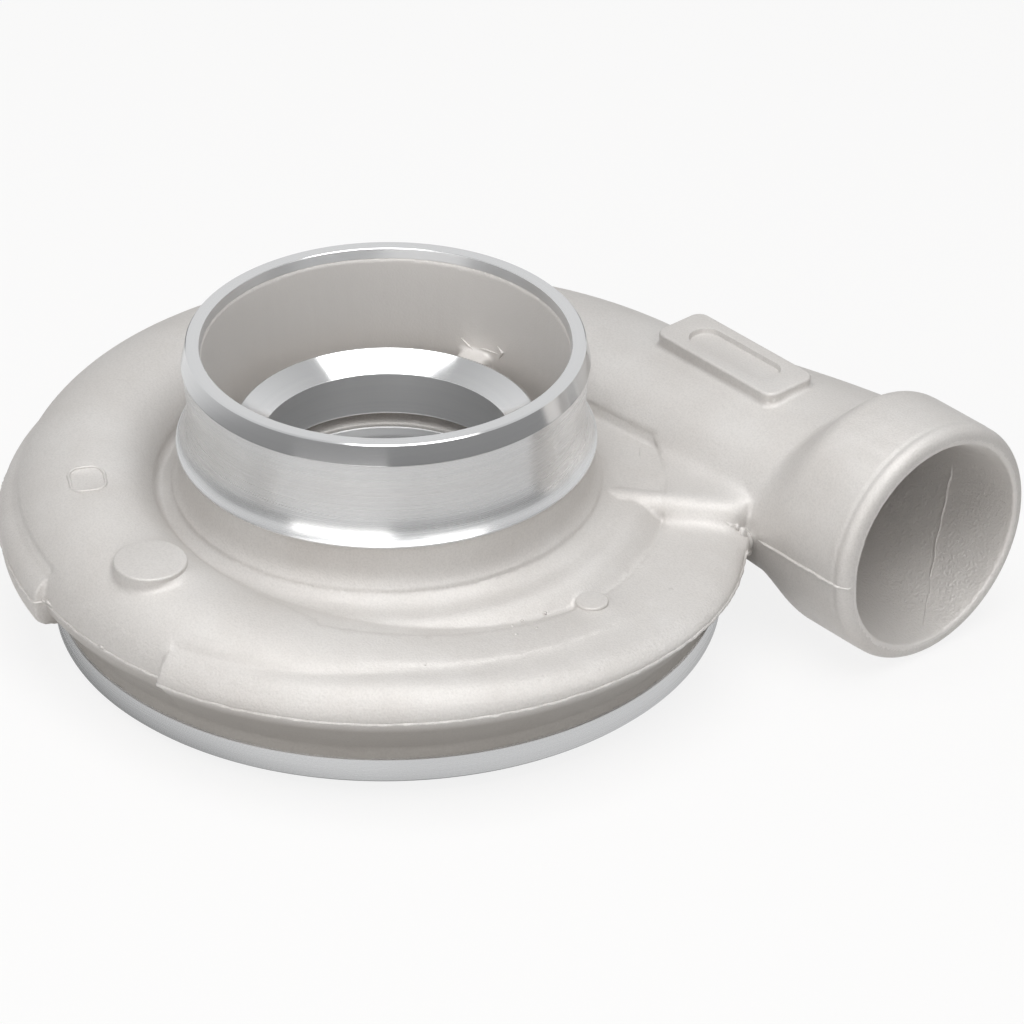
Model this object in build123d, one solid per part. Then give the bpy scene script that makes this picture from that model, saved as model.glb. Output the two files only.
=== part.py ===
from build123d import *
from math import cos, radians, sin
import os

# Turbo compressor housing: one aluminium casting, turned at the inlet, the inducer ring and the base.
# Millimetres. The origin is on the wheel axis at the base face, +Z goes up the inlet, and the outlet
# pipe runs along +X on the +Y side. Seen from above, the scroll grows clockwise from the tongue.

# Inlet spigot
inlet_height = 94.8
rim_radius = 63.5
rim_bevel_drop = 6.8
bead_radius = 64.9
neck_radius = 63.6
rim_bore_radius = 59.0
lead_in_depth = 3.4
rim_edge = 0.4
lead_in_step = 0.4

# Flare below the spigot, and the cast collar under it
flare_height = 59.6
flare_radius = 67.3
flare_rise = 5.5
collar_radius = 66.6
collar_fillet = 9.5
collar_step = 0.6

# Deck round the collar, which is also the level of the tongue land
deck_height = 42.0
deck_edge_radius = 82.0
deck_slope_run = 11.0
deck_slope_drop = 10.0
deck_edge_round = 4.0

# Inducer ring inside the inlet, held on struts
ring_height = 63.6
ring_outer_radius = 49.3
ring_land = 1.1
ring_cone_drop = 5.0
inducer_radius = 40.3
ring_depth = 18.0
ring_draft = 0.3
strut_count = 3
strut_angle = 109.0
strut_width = 12.0
strut_drop = 2.0
slot_width = 4.5
slot_rise = 4.0
strut_root = 3.0
strut_edge_round = 1.5
port_floor_height = 44.0
port_wall = 9.8
port_corner = 2.0
port_to_shroud = 3.0

# Wheel shroud and diffuser
exducer_radius = 60.5
diffuser_face_height = 14.0
diffuser_radius = 90.0
shroud_plate_edge = 2.0
shroud_knee = 8.0

# Base flange and the register for the back plate
flange_radius = 108.0
flange_height = 8.7
flange_chamfer = 0.8
flange_step = 0.6
valley_height = 12.5
register_radius = 100.0
register_depth = 6.0
throat_width = 7.0

# Scroll: the mould parts on one plane, which is the middle of the passage
parting_height = 30.4
wall = 4.6
wrap_angle = 315.0
tongue_angle = 45.0
lead_angle = 40.0
seam_wrap = 230.0
section_step = 22.5
scroll_radius = 117.4
steady_wrap = 129.0
scroll_end_radius = 139.0
scroll_growth_power = 1.18
inner_start_radius = 82.0
inner_radius = 69.0
inner_end_radius = 73.0
inner_wrap = 110.0
crest_share = 0.47
crown_start = 5.0
crown_end = 26.2
crown_wrap = 209.0
passage_crown_start = 1.5
passage_floor_start = 9.5
passage_floor_end = 12.0

# Outer band on the scroll, with a gap in front and faded ends
band_thickness = 3.5
band_height = 10.4
band_width = 9.0
band_sink = 0.8
band_fade_start = 8.0
band_full_start = 34.0
gap_start = 121.0
gap_end = 150.0
band_full_end = 190.0
band_fade_end = 215.0
belly_depth = 10.5

# Outlet pipe, collar and lip
pipe_length = 129.7
pipe_centre_y = 120.0
pipe_end = 85.0
pipe_fill_power = 1.25
pipe_half_width = 41.2
pipe_half_height = 29.2
pipe_inner_half_width = 34.5
pipe_inner_half_height = 25.0
collar_swell = 15.0
collar_ledge = 0.1
mouth_radius = 41.0
mouth_bore_radius = 35.3
lip_round = 4.0
underside_drop_start = 20.0

# Nameplate pad on the pipe
pad_rise = 2.9
pad_length = 55.4
pad_width = 20.5
pad_centre_x = 38.4
pad_centre_y = 116.0
pad_corner = 4.0
pad_depth = 13.0
pad_edge_round = 1.0
pocket_length = 37.0
pocket_width = 11.0
pocket_depth = 1.2
pocket_floor_round = 0.5

# Small cast marks on the scroll, at a rise or a depth from its crest
boss_radius = 11.6
boss_rise = 1.7
boss_ring = 95.4
boss_angle = -90.3
recess_length = 11.0
recess_width = 12.3
recess_corner = 3.5
recess_depth = 1.1
recess_ring = 96.5
recess_angle = -120.7
button_radius = 5.2
button_rise = 1.5
button_ring = 91.4
button_angle = 4.3
mark_root = 8.0
mark_edge_round = 0.7
recess_floor_round = 0.5

# Tongue land between the collar and the pipe
land_end_x = 82.0
land_end_y = 77.3
land_start_angle = 46.5
land_edge_round = 3.5

BEZIER_ROUND = 0.5523
PIPE_STATIONS = (0.25, 0.5, 0.75)
SWELL_STEPS = 5
SWELL_LAP = 2.0


def radial_plane(angle):
    """Plane through the wheel axis: local x is the radius, local y is the height over the parting."""
    a = radians(angle)
    return Plane(origin=(0, 0, parting_height), x_dir=(cos(a), sin(a), 0), z_dir=(sin(a), -cos(a), 0))


def pipe_plane(x):
    return Plane(origin=(x, 0, parting_height), x_dir=(0, 1, 0), z_dir=(1, 0, 0))


def oval(plane, inner, crest, outer, up, down):
    """Section of four quarter ovals that meet on the parting plane and at the crest."""
    k = BEZIER_ROUND
    out, top, inn, bottom = (outer, 0), (crest, up), (inner, 0), (crest, -down)
    to_out = crest + k * (outer - crest)
    to_in = crest + k * (inner - crest)
    quarters = [
        Bezier(out, (outer, k * up), (to_out, up), top),
        Bezier(top, (to_in, up), (inner, k * up), inn),
        Bezier(inn, (inner, -k * down), (to_in, -down), bottom),
        Bezier(bottom, (to_out, -down), (outer, -k * down), out),
    ]
    return plane * make_face(quarters)


def between(start, end, share):
    return start + (end - start) * min(max(share, 0.0), 1.0)


def ease(share):
    share = min(max(share, 0.0), 1.0)
    return share * share * (3 - 2 * share)


def scroll_edges(wrap):
    """Inner and outer radius of the cast skin at a wrap angle from the tongue."""
    late = ease((wrap - inner_wrap) / (wrap_angle - inner_wrap))
    inner = between(inner_start_radius, inner_radius, ease(wrap / inner_wrap))
    inner += (inner_end_radius - inner_radius) * late
    grow = max(wrap - steady_wrap, 0.0) / (wrap_angle - steady_wrap)
    outer = scroll_radius + (scroll_end_radius - scroll_radius) * grow ** scroll_growth_power
    return inner, outer


def crown(start, end, wrap):
    return start + (end - start) * ease(wrap / crown_wrap)


def crown_height(angle):
    """Height of the cast crest above the base at an angle about the wheel axis."""
    return parting_height + crown(crown_start, crown_end, tongue_angle - angle)


def crest_radius(inner, outer):
    return inner + crest_share * (outer - inner)


def scroll_skin(wrap):
    inner, outer = scroll_edges(wrap)
    up = crown(crown_start, crown_end, wrap)
    down = between(passage_floor_start, passage_floor_end, wrap / wrap_angle) + wall
    return oval(radial_plane(tongue_angle - wrap), inner, crest_radius(inner, outer), outer, up, down)


def scroll_passage(wrap):
    inner, outer = scroll_edges(wrap)
    crest = crest_radius(inner, outer)
    up = crown(passage_crown_start, crown_end - wall, wrap)
    down = between(passage_floor_start, passage_floor_end, wrap / wrap_angle)
    return oval(radial_plane(tongue_angle - wrap), inner + wall, crest, outer - wall, up, down)


def pipe_section(x, inset, half_width, half_height):
    """Pipe section at x, blended from the last scroll section to the oval before the collar."""
    inner, outer = scroll_edges(wrap_angle)
    share = 1 - (1 - x / pipe_end) ** pipe_fill_power
    near = between(inner + inset, pipe_centre_y - half_width, share)
    far = between(outer - inset, pipe_centre_y + half_width, share)
    crest = between(crest_radius(inner, outer), pipe_centre_y, share)
    up = between(crown_end - inset, half_height, share)
    drop = (x - underside_drop_start) / (pipe_end - underside_drop_start)
    down = between(passage_floor_end + wall - inset, half_height, drop)
    return oval(pipe_plane(x), near, crest, far, up, down)


def centred_oval(x, half_width, half_height):
    c = pipe_centre_y
    return oval(pipe_plane(x), c - half_width, c, c + half_width, half_height, half_height)


def wraps(start, end):
    count = max(round((end - start) / section_step), 2)
    return [start + (end - start) * i / count for i in range(count + 1)]


def turned(points):
    """Solid of revolution about the wheel axis from an outline in radius and height."""
    return revolve(Plane.XZ * make_face(Polyline(*points, close=True)), axis=Axis.Z)


def base_body():
    """Flange, lower wall, deck, collar, flare and spigot, still without their bores."""
    deck_end = (deck_edge_radius - deck_edge_round, deck_height)
    slope_end = (deck_edge_radius + deck_slope_run, deck_height - deck_slope_drop)
    bead_height = inlet_height - rim_bevel_drop
    collar_foot = (collar_radius, deck_height + collar_fillet)
    fillet_end = (collar_radius + collar_fillet, deck_height)
    lip = (flare_radius, flare_height + collar_step)
    shoulder = Spline(
        deck_end,
        (deck_edge_radius + 0.45 * deck_slope_run, deck_height - 0.42 * deck_slope_drop),
        slope_end,
        tangents=[(1, 0), (0.6, -1)],
    )
    lower = Polyline(
        slope_end,
        (scroll_radius - wall, parting_height),
        (scroll_radius - 0.5, parting_height),
        (flange_radius - 1.5 * flange_step, valley_height),
        (flange_radius - flange_step, flange_height),
        (flange_radius, flange_height - flange_step / 2),
        (flange_radius, flange_chamfer),
        (flange_radius - flange_chamfer, 0),
        (0, 0),
        (0, inlet_height),
        (rim_radius - rim_edge, inlet_height),
        (rim_radius, inlet_height - rim_edge),
        (bead_radius, bead_height),
        (bead_radius - rim_edge, bead_height - rim_edge),
    )
    neck = Spline(
        (bead_radius - rim_edge, bead_height - rim_edge),
        (neck_radius, flare_height + 2.1 * flare_rise),
        lip,
        tangents=[(-0.05, -1), (1, -0.7)],
    )
    step = Polyline(lip, (flare_radius, flare_height), (collar_radius, flare_height - collar_step), collar_foot)
    fillet_arc = RadiusArc(collar_foot, fillet_end, -collar_fillet)
    flat = Line(fillet_end, deck_end)
    face = make_face([shoulder, *lower.edges(), neck, *step.edges(), fillet_arc, flat])
    return revolve(Plane.XZ * face, axis=Axis.Z)


def band_section(wrap, belly):
    """Band outline, proud of the scroll by its thickness at the parting and faded into the crown.

    Its faded ends sink under the skin. Under the parting it drafts to the valley or hangs as a rounded belly.
    """
    outer = scroll_edges(wrap)[1]
    fade_in = ease((wrap - band_fade_start) / (band_full_start - band_fade_start))
    fade_out = ease((band_fade_end - wrap) / (band_fade_end - band_full_end))
    face = outer + between(-band_sink, band_thickness, fade_in * fade_out)
    top = min(band_height, 0.84 * crown(crown_start, crown_end, wrap))
    root = outer - band_width
    foot = flange_radius - 1.5 * flange_step
    low = -belly if belly else valley_height - parting_height
    upper = Bezier((root, top), (root + 0.55 * band_width, top), (face, 0.6 * top), (face, 0))
    if belly:
        under = Bezier((face, 0), (face, 0.8 * low), (face - 0.5, low), (foot + 2.0, low))
    else:
        under = Line((face, 0), (foot, low))
    back = Polyline(under @ 1, (foot - 2.0, low), (root - 2.0, 0.3 * low), (root, top))
    return radial_plane(tongue_angle - wrap) * make_face([upper, under, *back.edges()])


def band(start, end, belly):
    return loft([band_section(w, belly) for w in wraps(start, end)])


def wound(scroll_section, pipe_stations, end_section):
    """The scroll in two runs that meet behind the inlet, and the pipe that carries it on."""
    return [
        loft([scroll_section(w) for w in wraps(-lead_angle, seam_wrap)]),
        loft([scroll_section(w) for w in wraps(seam_wrap, wrap_angle)]),
        loft([scroll_section(wrap_angle), *pipe_stations, end_section]),
    ]


def skin():
    width, height = pipe_half_width, pipe_half_height
    stations = [pipe_section(s * pipe_end, 0.0, width, height) for s in PIPE_STATIONS]
    return wound(scroll_skin, stations, centred_oval(pipe_end, width, height))


def passage():
    width, height = pipe_inner_half_width, pipe_inner_half_height
    stations = [pipe_section(s * pipe_end, wall, width, height) for s in PIPE_STATIONS]
    stations.append(centred_oval(pipe_end, width, height))
    r = mouth_bore_radius
    return wound(scroll_passage, stations, centred_oval(pipe_length, r, r))


def collar_swelling():
    """The oval pipe swells into the round hose collar and ends just inside it."""
    full = mouth_radius - collar_ledge
    sections = []
    for i in range(SWELL_STEPS + 1):
        share = ease(i / SWELL_STEPS)
        width = between(pipe_half_width, full, share)
        height = between(pipe_half_height, full, share)
        sections.append(centred_oval(pipe_end + collar_swell * i / SWELL_STEPS, width, height))
    sections.append(centred_oval(pipe_end + collar_swell + SWELL_LAP, full, full))
    return loft(sections)


def outlet_collar():
    """Round hose collar, turned about the pipe axis, that ends in a rounded lip."""
    start = pipe_end + collar_swell
    lip_start = pipe_length - lip_round
    side = Line((start, mouth_radius), (lip_start, mouth_radius))
    lip = RadiusArc((lip_start, mouth_radius), (pipe_length, mouth_radius - lip_round), lip_round)
    rest = Polyline((pipe_length, mouth_radius - lip_round), (pipe_length, 0), (start, 0), (start, mouth_radius))
    solid = revolve(make_face([side, lip, *rest.edges()]), axis=Axis.X)
    return Pos(0, pipe_centre_y, parting_height) * solid


def chamber():
    """Inlet chamber above the inducer ring, and the ring-shaped port cavity outside it."""
    ring_bottom = ring_height - ring_depth
    port_outer = collar_radius - port_wall
    floor = port_floor_height
    cast_bore = rim_bore_radius - lead_in_step
    lead_in = inlet_height - lead_in_depth
    outline = [
        (0, ring_height),
        (ring_outer_radius, ring_height),
        (ring_outer_radius - ring_draft, ring_bottom + port_corner),
        (ring_outer_radius, floor + port_corner / 2),
        (ring_outer_radius + port_corner, floor),
        (port_outer - port_corner, floor),
        (port_outer, floor + port_corner),
        (cast_bore - lead_in_step / 2, lead_in - lead_in_step / 2),
        (cast_bore, lead_in),
        (rim_bore_radius, inlet_height),
        (rim_bore_radius, inlet_height + 1.0),
        (0, inlet_height + 1.0),
    ]
    return turned(outline)


def wheel_bore():
    """Inducer cone and bore, the curved shroud, the diffuser, the throat and the register."""
    cone_top = ring_outer_radius - ring_land
    shroud_top = ring_height - ring_depth - slot_width - port_to_shroud
    throat_outer = diffuser_radius + throat_width
    passage_edge = scroll_radius - wall
    shroud = Spline(
        (inducer_radius, shroud_top),
        (between(inducer_radius, exducer_radius, 0.3), diffuser_face_height + shroud_knee),
        (exducer_radius, diffuser_face_height),
        tangents=[(0, -1), (1, -0.12)],
    )
    upper = Polyline(
        (0, diffuser_face_height),
        (0, ring_height + 1.0),
        (cone_top, ring_height + 1.0),
        (cone_top, ring_height),
        (inducer_radius, ring_height - ring_cone_drop),
        (inducer_radius, shroud_top),
    )
    lower = Polyline(
        (exducer_radius, diffuser_face_height),
        (diffuser_radius - shroud_plate_edge, diffuser_face_height),
        (diffuser_radius, diffuser_face_height + shroud_plate_edge),
        (diffuser_radius, parting_height - passage_floor_start + 3.0),
        (passage_edge - 4.0, parting_height - 3.0),
        (passage_edge - 1.5, parting_height - 6.0),
        (throat_outer + 5.5, diffuser_face_height + 1.0),
        (throat_outer, diffuser_face_height - 4.0),
        (throat_outer, register_depth),
        (register_radius, register_depth),
        (register_radius, -1.0),
        (0, -1.0),
        (0, diffuser_face_height),
    )
    return revolve(Plane.XZ * make_face([shroud, *upper.edges(), *lower.edges()]), axis=Axis.Z)


def port_slot():
    """Slanted slot under the ring that joins the inducer bore to the port cavity."""
    top = ring_height - ring_depth
    inner, outer = inducer_radius - 1.5, ring_outer_radius + port_corner / 2
    return turned(
        [
            (inner, top - slot_width - slot_rise / 2),
            (outer, top - slot_width + slot_rise / 2),
            (outer, top + slot_rise / 2),
            (inner, top - slot_rise / 2),
        ]
    )


def strut(angle):
    """Cast strut from the ring to the chamber wall, wider at the wall."""
    inner, outer = ring_outer_radius - strut_root / 2, collar_radius - port_wall + strut_root
    low, high = port_floor_height - 1.0, ring_height - strut_drop
    half = strut_width / 2
    foot = Polyline((inner, -0.8 * half), (outer, -half), (outer, half), (inner, 0.8 * half), close=True)
    rib = extrude(Pos(0, 0, low) * make_face(foot), amount=high - low)
    return Rot(0, 0, angle) * rounded(rib, -1, strut_edge_round)


def land():
    """Flat web at deck level that fills the corner between the collar and the pipe."""
    a = radians(land_start_angle)
    start = (collar_radius * cos(a), collar_radius * sin(a))
    corner = (land_end_x + 4.0, land_end_y + 6.0)
    outline = Polyline(
        start,
        (land_end_x, land_end_y),
        corner,
        (corner[0] - 20.0, pipe_centre_y - 12.0),
        (0.35 * pipe_centre_y, pipe_centre_y - 14.0),
        (0.3 * start[0], collar_radius + 4.0),
        close=True,
    )
    low = parting_height - 2.0
    web = extrude(Pos(0, 0, low) * make_face(outline), amount=deck_height - low)
    front = ((start[0] + land_end_x) / 2, (start[1] + land_end_y) / 2, deck_height)
    return fillet(web.edges().sort_by_distance(front)[:1], land_edge_round)


def rounded(solid, level, radius):
    """Fillet on the top edges (level -1) or the bottom edges (level 0) of an extrusion."""
    return fillet(solid.edges().group_by(Axis.Z)[level], radius)


def pad():
    """Nameplate pad above the pipe's crown, with a bare pocket that has round ends."""
    top = parting_height + pipe_half_height + pad_rise
    corner = Pos(pad_centre_x, pad_centre_y, 0)
    outline = corner * Pos(0, 0, top - pad_depth) * RectangleRounded(pad_length, pad_width, pad_corner)
    pocket = corner * Pos(0, 0, top - pocket_depth) * SlotOverall(pocket_length, pocket_width)
    body = extrude(outline, amount=pad_depth)
    hollow = extrude(pocket, amount=pocket_depth + 1.0)
    return rounded(body, -1, pad_edge_round) - rounded(hollow, 0, pocket_floor_round)


def at(ring, angle, height):
    """Place on a ring about the wheel axis, turned so that local x points outwards."""
    return Rot(0, 0, angle) * Pos(ring, 0, height)


def round_mark(radius, ring, angle, rise):
    top = crown_height(angle) + rise
    mark = rounded(extrude(Circle(radius), amount=mark_root), -1, mark_edge_round)
    return at(ring, angle, top - mark_root) * mark


def recess():
    outline = RectangleRounded(recess_length, recess_width, recess_corner)
    floor = crown_height(recess_angle) - recess_depth
    hollow = rounded(extrude(outline, amount=mark_root), 0, recess_floor_round)
    return at(recess_ring, recess_angle, floor) * hollow


housing = base_body()
for run in skin():
    housing += run
housing += band(band_fade_start, gap_start, 0)
housing += band(gap_end, band_fade_end, belly_depth)
housing += collar_swelling()
housing += outlet_collar()
housing += land()
housing += pad()
housing += round_mark(boss_radius, boss_ring, boss_angle, boss_rise)
housing += round_mark(button_radius, button_ring, button_angle, button_rise)
housing -= recess()
for run in passage():
    housing -= run
housing -= wheel_bore()
housing -= chamber()
housing -= port_slot()
for index in range(strut_count):
    housing += strut(strut_angle + index * 360.0 / strut_count)

os.makedirs("parts", exist_ok=True)
export_step(housing, "parts/compressor_housing.step")
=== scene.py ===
import math

import bmesh
import bpy
import numpy as np
from mathutils import Matrix, Vector, noise
from mathutils.bvhtree import BVHTree


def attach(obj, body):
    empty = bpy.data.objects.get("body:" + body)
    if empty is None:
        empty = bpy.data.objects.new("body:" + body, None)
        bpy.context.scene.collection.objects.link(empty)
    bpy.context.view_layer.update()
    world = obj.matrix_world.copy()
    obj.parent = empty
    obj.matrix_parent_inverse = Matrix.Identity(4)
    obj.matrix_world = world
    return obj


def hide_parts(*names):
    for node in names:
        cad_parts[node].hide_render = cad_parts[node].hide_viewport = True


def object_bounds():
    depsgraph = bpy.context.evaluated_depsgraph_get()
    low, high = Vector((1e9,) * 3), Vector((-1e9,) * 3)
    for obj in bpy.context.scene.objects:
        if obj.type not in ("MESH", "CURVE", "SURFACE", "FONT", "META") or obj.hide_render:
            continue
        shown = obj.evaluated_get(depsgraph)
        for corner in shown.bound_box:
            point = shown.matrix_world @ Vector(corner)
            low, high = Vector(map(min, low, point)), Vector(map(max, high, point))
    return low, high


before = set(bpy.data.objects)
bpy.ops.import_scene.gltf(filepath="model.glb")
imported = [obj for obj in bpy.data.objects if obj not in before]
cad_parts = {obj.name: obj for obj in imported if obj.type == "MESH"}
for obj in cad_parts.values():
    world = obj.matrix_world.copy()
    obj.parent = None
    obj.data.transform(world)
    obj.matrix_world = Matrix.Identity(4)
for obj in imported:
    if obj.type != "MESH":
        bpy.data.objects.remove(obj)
cad_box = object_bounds()

MM = 0.001
NODE = "compressor_housing"

# Levels and radii of the turned faces, in millimetres, with z from the base face
INLET_TOP = 94.8
RIM_RADIUS = 63.5
RIM_BORE = 59.0
RIM_EDGE = 0.4
RIM_INNER_EDGE = 0.25
BEAD_TOP = 88.0
BEAD_RADIUS = 64.9
FLARE_HEIGHT = 59.6
FLARE_RADIUS = 67.3
COLLAR_RADIUS = 66.6
LEAD_IN_BOTTOM = 91.4
CAST_BORE = 58.6
SPIGOT_CORE = 61.0
SPIGOT_WALL = (60.5, 69.0)
RING_HEIGHT = 63.6
RING_CONE_TOP = 48.2
RING_CONE_BOTTOM = 58.6
RING_THICKNESS = 3.0
INDUCER_RADIUS = 40.3
RING_BOTTOM = 45.6
SHROUD_TOP = 45.0
SHROUD_REACH = 89.5
SHROUD_HEIGHTS = (37.9, 14.4)
DIFFUSER_FACE = 14.0
FLANGE_RADIUS = 108.0
FLANGE_HEIGHT = 8.7
FLANGE_CHAMFER = 0.8
FLANGE_STEP = 0.6
FLANGE_RADII = (85.0, 110.0)
REGISTER_RADIUS = 100.0
REGISTER_DEPTH = 6.0

# The casting's form: mould parting, pipe, and how the crown grows round the scroll
PARTING = 30.4
PIPE_Y = 120.0
MOUTH_X = 129.7
MOUTH_RADIUS = 41.0
CROWN_LOW = 5.0
CROWN_GROWTH = 21.2
CROWN_START = 45.0
CROWN_TURN = 209.0

# Mesh of the cast skin and of the turned pieces, and how far the skin is sunk under them in millimetres
MERGE_DISTANCE = 1e-6
VOXEL = 0.7
SKIN_FACES = 185000
TURN_SEGMENTS = 288
TURNED_INSET = 0.45
WAIST_INSET = 0.5
WAIST_RADII = (62.0, 67.0)

# Round front of the tongue land, added to the skin, in millimetres
LAND_ROLL_START = (48.0, 47.5, 38.0)
LAND_ROLL_END = (79.8, 76.3, 36.9)
LAND_ROLL_RADIUS = 5.5

# Zones of the skin that get more rounding, in millimetres or degrees: an end, then the width it fades over
VALLEY_START = (70.0, 6.0)
VALLEY_END = (101.0, 8.0)
TONGUE_START = (-40.0, 20.0)
TONGUE_END = (49.0, 3.0)
TONGUE_RADIUS = (112.0, 8.0)
LAND_START = (38.0, 3.0)
LAND_END = (72.0, 12.0)
LAND_RADIUS = (116.0, 4.0)
CORNER = (42.0, 79.0, 42.5)
CORNER_FADE = (15.0, 8.0)
VALLEY_SHARE = 0.6

# Limits of these zones, limits of the flat band, which gets less rounding, and how many rounds are done
OUTSIDE_HEIGHTS = (28.0, 62.0)
OUTSIDE_RADIUS = 68.5
BAND_SHARE = 0.15
BAND_RADIUS = 105.0
BAND_HEIGHTS = (24.0, 45.0)
BAND_ANGLE = 36.0
ROUNDS_ALL = 2
ROUNDS_CAST = 6
ROUNDS_ZONES = 90

# Crease over the flat band and groove behind the collar's lip
CREASE_HEIGHT = 10.4
CREASE_SHARE = 0.84
CREASE_WIDTH = 0.9
CREASE_DEPTH = 0.4
CREASE_END = (28.0, 20.0)
CREASE_FRONT = (-76.0, 30.0)
CREASE_LEFT = (-160.0, -105.0)
CREASE_RADIUS = 104.0
CREASE_Y = 70.0
GROOVE_X = 124.4
GROOVE_WIDTH = 0.9
GROOVE_DEPTH = 0.35
GROOVE_RADIUS = 38.5
GROOVE_FROM_X = 110.0

# Nameplate pad: length, width and corner radius, and its levels, in millimetres
PAD_CENTRE = (38.4, 116.0)
PAD_SIZE = (55.4, 20.5, 4.0)
PAD_FOOT = 56.0
PAD_TOP = 62.56
PAD_EDGE = 0.9

# Skin that stays unrounded round the pad, and skin sunk under it: half length, half width, lowest level
PAD_CLEAR = (31.0, 14.0, 50.0)
PAD_INNER = (27.2, 9.8, 58.0)
SKIN_UNDER_PAD = 59.5

# Bare pocket in the pad: length, width and corner radius, then its wall as insets and levels
POCKET_SIZE = (39.0, 12.2, 6.0)
POCKET_WALL = ((0.0, 62.56), (0.25, 62.5), (0.4, 62.2), (0.6, 61.2), (0.8, 60.85), (1.2, 60.7))

# Boss and button: radius, distance from the wheel axis, angle in degrees, and how proud they stand
BOSSES = ((11.6, 95.4, -90.3, 1.7), (5.2, 91.4, 4.3, 1.5))
BOSS_EDGE = 0.7

# Shallow recess: distance from the wheel axis, angle, size and corner, and the width and height of its rim
RECESS_RING = 96.5
RECESS_ANGLE = -120.7
RECESS_SIZE = (11.6, 12.9, 4.0)
RECESS_RIM = (1.6, 0.6)

# Parting flash on the scroll, the pipe's far side and its near side: width and height in millimetres
PARTING_FLASH = ((1.1, 0.6), (1.0, 0.45), (1.5, 0.75))

# Rays that find the parting: angles round the scroll in degrees, and places in millimetres
SCROLL_FROM = 38.5
SCROLL_STEP = 0.2
SCROLL_RAYS = 1500
TONGUE_SIDE = -60.0
REACH_BY_PIPE = 124.0
REACH_ELSEWHERE = 170.0
FAR_SIDE = (-19.0, 126.0, 0.5)
FAR_Y = 200.0
NEAR_SIDE = (90.0, 129.0, 0.5)
NEAR_Y = 77.0

# How deep a fin of flash is rooted in millimetres, and over how many stations its ends fade
FLASH_ROOT = -0.4
FLASH_FADE = 6.0

# Other flash and seams: places on the skin, width and height, all in millimetres
FLASH_RUNS = (
    (((100.6, 155.4, 32.8), (100.2, 154.6, 23.3), (102.5, 150.1, 14.6), (105.5, 144.8, 8.6),
      (112.3, 136.1, 2.0)), 1.2, 0.6),
    (((112.3, 136.1, 2.0), (118.0, 129.0, -1.5), (125.2, 120.1, -4.2)), 0.8, 0.3),
    (((123.0, 155.6, 29.8), (126.9, 155.4, 29.5)), 0.7, 0.4),
    (((127.0, 79.4, 30.4), (128.6, 80.2, 30.2), (129.5, 81.8, 29.9), (129.7, 84.0, 31.2)), 1.5, 0.7),
    (((74.0, 70.3, 36.0), (77.0, 71.6, 35.4), (81.0, 73.2, 34.6), (85.5, 74.2, 33.8)), 2.2, 0.25),
    (((85.5, 75.5, 34.5), (86.5, 76.0, 30.0), (87.0, 76.3, 25.0)), 1.8, 1.2),
    (((36.5, 76.5, 42.0), (39.5, 74.0, 42.0), (42.0, 71.8, 42.0)), 0.8, 0.5),
    (((-24.2, 52.1, 64.9), (-21.0, 53.0, 62.6), (-19.5, 53.4, 61.6)), 0.8, 1.0),
    (((-11.2, 56.4, 66.0), (-8.5, 56.6, 64.4), (-10.0, 55.0, 61.5)), 0.8, 1.0),
    (((-19.0, 55.0, 62.5), (-14.0, 56.5, 63.0), (-10.5, 57.0, 63.2)), 0.6, 0.5),
    (((-31.0, -115.6, 31.2), (-28.0, -115.9, 31.6), (-25.0, -116.2, 31.0)), 1.6, 0.9),
    (((1.6, -117.4, 31.2), (4.0, -117.3, 31.4)), 1.4, 0.9),
)

# Gate ends and chips: places on the skin and half sizes in millimetres
LUMPS = (
    ((85.6, 74.9, 31.5), (1.7, 1.7, 2.2)),
    ((86.4, 75.6, 27.0), (1.5, 1.6, 1.9)),
    ((84.4, 74.3, 34.6), (1.1, 1.0, 1.2)),
    ((-30.0, -115.8, 31.0), (1.3, 0.9, 0.7)),
    ((2.6, -117.5, 31.0), (1.1, 0.7, 0.6)),
    ((85.3, -21.2, 38.8), (1.0, 0.6, 0.35)),
    ((84.7, -16.5, 38.3), (0.7, 0.5, 0.3)),
    ((85.9, -8.1, 38.3), (0.9, 0.5, 0.3)),
    ((90.8, -24.3, 39.6), (0.5, 0.8, 0.3)),
    ((91.5, -16.7, 38.9), (0.6, 0.5, 0.25)),
)

# Where the looks change, in metres: reaches from the wheel axis or the pipe's axis, and heights
OUTLET_BORE_REACH = 0.0372
INLET_BORE_REACH = 0.0592
INLET_BORE_FOOT = 0.043
UNDERCUT_TOP = (0.0285, 0.0306)
UNDERCUT_RIM = (0.116, 0.12)
BAND_REACH = 0.1145
BAND_FOOT = 0.0306
BAND_END_Y = 0.07
NECK_REACH = 0.0625
INDUCER_REACH = 0.0405
INDUCER_TOP = 0.0585
LEAD_IN_REACH = 0.0591
LEAD_IN_FOOT = 0.09
DEEP_REACH = 0.095
DEEP_TOP = 0.044
DEEP_FOOT = 0.0087

# Colours and finish of the cast skin and of the turned faces, with painted light for the inside of the
# bores and painted shade for the undercut wall
CAST_METALLIC = 0.35
CAST_DARK = (0.59, 0.568, 0.547, 1)
CAST_LIGHT = (0.65, 0.634, 0.617, 1)
CAST_GRAIN = (0.86, 0.86, 0.86, 1)
CAST_ROUGHNESS = (0.52, 0.62)
GRAIN_SHARE = 0.8
BORE_PAINTED_LIGHT_SHARE = 0.8
BAND_SAND = 0.5
PAINTED_BORE_LIGHT = (0.7, 0.68, 0.66, 1)
PAINTED_UNDERCUT_SHADE = (0.6, 0.585, 0.565, 1)
WHITE = (1, 1, 1, 1)
TURNED_DARK = (0.70, 0.705, 0.715, 1)
TURNED_LIGHT = (0.73, 0.735, 0.74, 1)
TURNED_ROUGHNESS = 0.12
STREAK_ROUGHNESS = 0.025
NECK_ROUGHNESS = 0.14
BORE_ROUGHNESS = 0.2
SHROUD_ROUGHNESS = 0.35

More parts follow.
